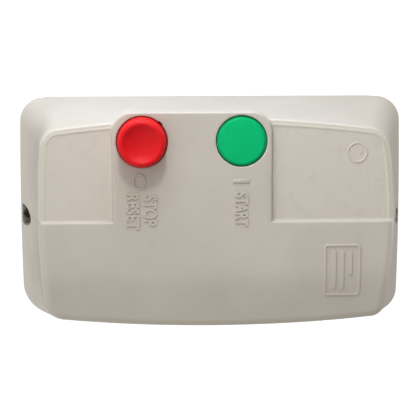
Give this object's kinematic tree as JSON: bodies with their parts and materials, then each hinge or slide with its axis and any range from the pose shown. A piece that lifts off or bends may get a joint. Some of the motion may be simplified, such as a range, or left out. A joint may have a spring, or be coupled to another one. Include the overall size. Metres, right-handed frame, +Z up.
{
  "type": "enclosed motor starter",
  "caption": "Wall-mounted plastic enclosure with a lift-off cover, flush green start button and projecting red stop-reset button, over a contactor and thermal overload relay.",
  "frame": {"origin": "point of the flat back face, against the wall, midway between the two cover screws", "axes": "+Z up as mounted, -Y out of the wall towards the user, +X to the right seen from the front"},
  "size_m": [0.1188, 0.115, 0.2056],
  "materials": {
    "housing_plastic": "fine moulded texture",
    "red_plastic": "smooth moulded",
    "green_plastic": "smooth moulded",
    "seal_rubber": "matt",
    "bright_steel": "bright zinc plate",
    "rail_steel": "galvanised strip",
    "magnet_steel": "laminated sheet",
    "brass": "bright",
    "copper": "bright copper alloy",
    "coil_copper": "enamelled winding",
    "bimetal": "dull",
    "black_plastic": "moulded",
    "grey_plastic": "moulded",
    "nylon": "natural",
    "blue_plastic": "smooth moulded"
  },
  "bodies": {
    "enclosure": {"base": "housing_plastic", "cover_gasket": "seal_rubber", "din_rail": "rail_steel", "rail_screw_left": "bright_steel", "rail_screw_right": "bright_steel", "earth_terminal": "brass", "contactor_base": "black_plastic", "contactor_top": "grey_plastic", "magnet_core": "magnet_steel", "coil": "coil_copper", "return_spring_upper": "bright_steel", "return_spring_lower": "bright_steel", "start_contact_block": "grey_plastic", "relay_base": "black_plastic", "relay_cover": "grey_plastic", "line_terminal_1": "copper", "line_terminal_2": "copper", "line_terminal_3": "copper", "load_terminal_1": "copper", "load_terminal_2": "copper", "load_terminal_3": "copper", "line_screw_1": "bright_steel", "line_screw_2": "bright_steel", "line_screw_3": "bright_steel", "load_screw_1": "bright_steel", "load_screw_2": "bright_steel", "load_screw_3": "bright_steel", "relay_blade_1": "copper", "relay_blade_2": "copper", "relay_blade_3": "copper", "bimetal_1": "bimetal", "bimetal_2": "bimetal", "bimetal_3": "bimetal", "relay_terminal_1": "copper", "relay_terminal_2": "copper", "relay_terminal_3": "copper", "relay_screw_1": "bright_steel", "relay_screw_2": "bright_steel", "relay_screw_3": "bright_steel"},
    "cover": {"cover": "housing_plastic", "cover_screw_top": "bright_steel", "cover_screw_bottom": "bright_steel", "start_retainer": "nylon", "stop_retainer": "nylon", "start_spring": "bright_steel", "stop_spring": "bright_steel"},
    "start_button": {"start_button": "green_plastic", "start_clip": "bright_steel"},
    "stop_button": {"stop_button": "red_plastic", "stop_clip": "bright_steel"},
    "contact_carrier": {"contact_carrier": "black_plastic", "armature": "magnet_steel", "contact_bridge_1": "copper", "contact_bridge_2": "copper", "contact_bridge_3": "copper"},
    "start_contact": {"start_contact_plunger": "nylon"},
    "reset": {"reset_plunger": "blue_plastic"},
    "trip_bar": {"trip_bar": "nylon"},
    "dial": {"current_dial": "nylon"},
    "rail_clip": {"rail_clip": "nylon"}
  },
  "joints": [
    {"name": "cover_lift", "type": "slide", "parent": "enclosure", "child": "cover", "axis": [0, -1, 0], "range_m": [0, 0.07]},
    {"name": "start_press", "type": "slide", "parent": "cover", "child": "start_button", "axis": [0, 1, 0], "range_m": [0, 0.0045], "stiffness_N_per_m": 500, "springref_m": -0.003, "deforming": ["start_spring"]},
    {"name": "stop_press", "type": "slide", "parent": "cover", "child": "stop_button", "axis": [0, 1, 0], "range_m": [0, 0.005], "stiffness_N_per_m": 500, "springref_m": -0.003, "deforming": ["stop_spring"]},
    {"name": "armature_pull", "type": "slide", "parent": "enclosure", "child": "contact_carrier", "axis": [0, 1, 0], "range_m": [0, 0.0047], "stiffness_N_per_m": 500, "springref_m": -0.004, "deforming": ["return_spring_upper", "return_spring_lower"]},
    {"name": "start_contact_press", "type": "slide", "parent": "enclosure", "child": "start_contact", "axis": [0, 1, 0], "range_m": [0, 0.0045]},
    {"name": "reset_press", "type": "slide", "parent": "enclosure", "child": "reset", "axis": [0, 1, 0], "range_m": [0, 0.005]},
    {"name": "trip_slide", "type": "slide", "parent": "enclosure", "child": "trip_bar", "axis": [1, 0, 0], "range_m": [0, 0.0012], "stiffness_N_per_m": 300, "springref_m": -0.001},
    {"name": "dial_turn", "type": "hinge", "parent": "enclosure", "child": "dial", "pos_m": [-0.022, -0.072, -0.03], "axis": [0, -1, 0], "range_deg": [-130, 130]},
    {"name": "rail_clip_pull", "type": "slide", "parent": "enclosure", "child": "rail_clip", "axis": [0, 0, -1], "range_m": [0, 0.0035], "stiffness_N_per_m": 800, "springref_m": -0.002}
  ],
  "couplings": [
    {"joint": "start_contact_press", "follows": "start_press", "ratio": 1},
    {"joint": "reset_press", "follows": "stop_press", "ratio": 1}
  ]
}
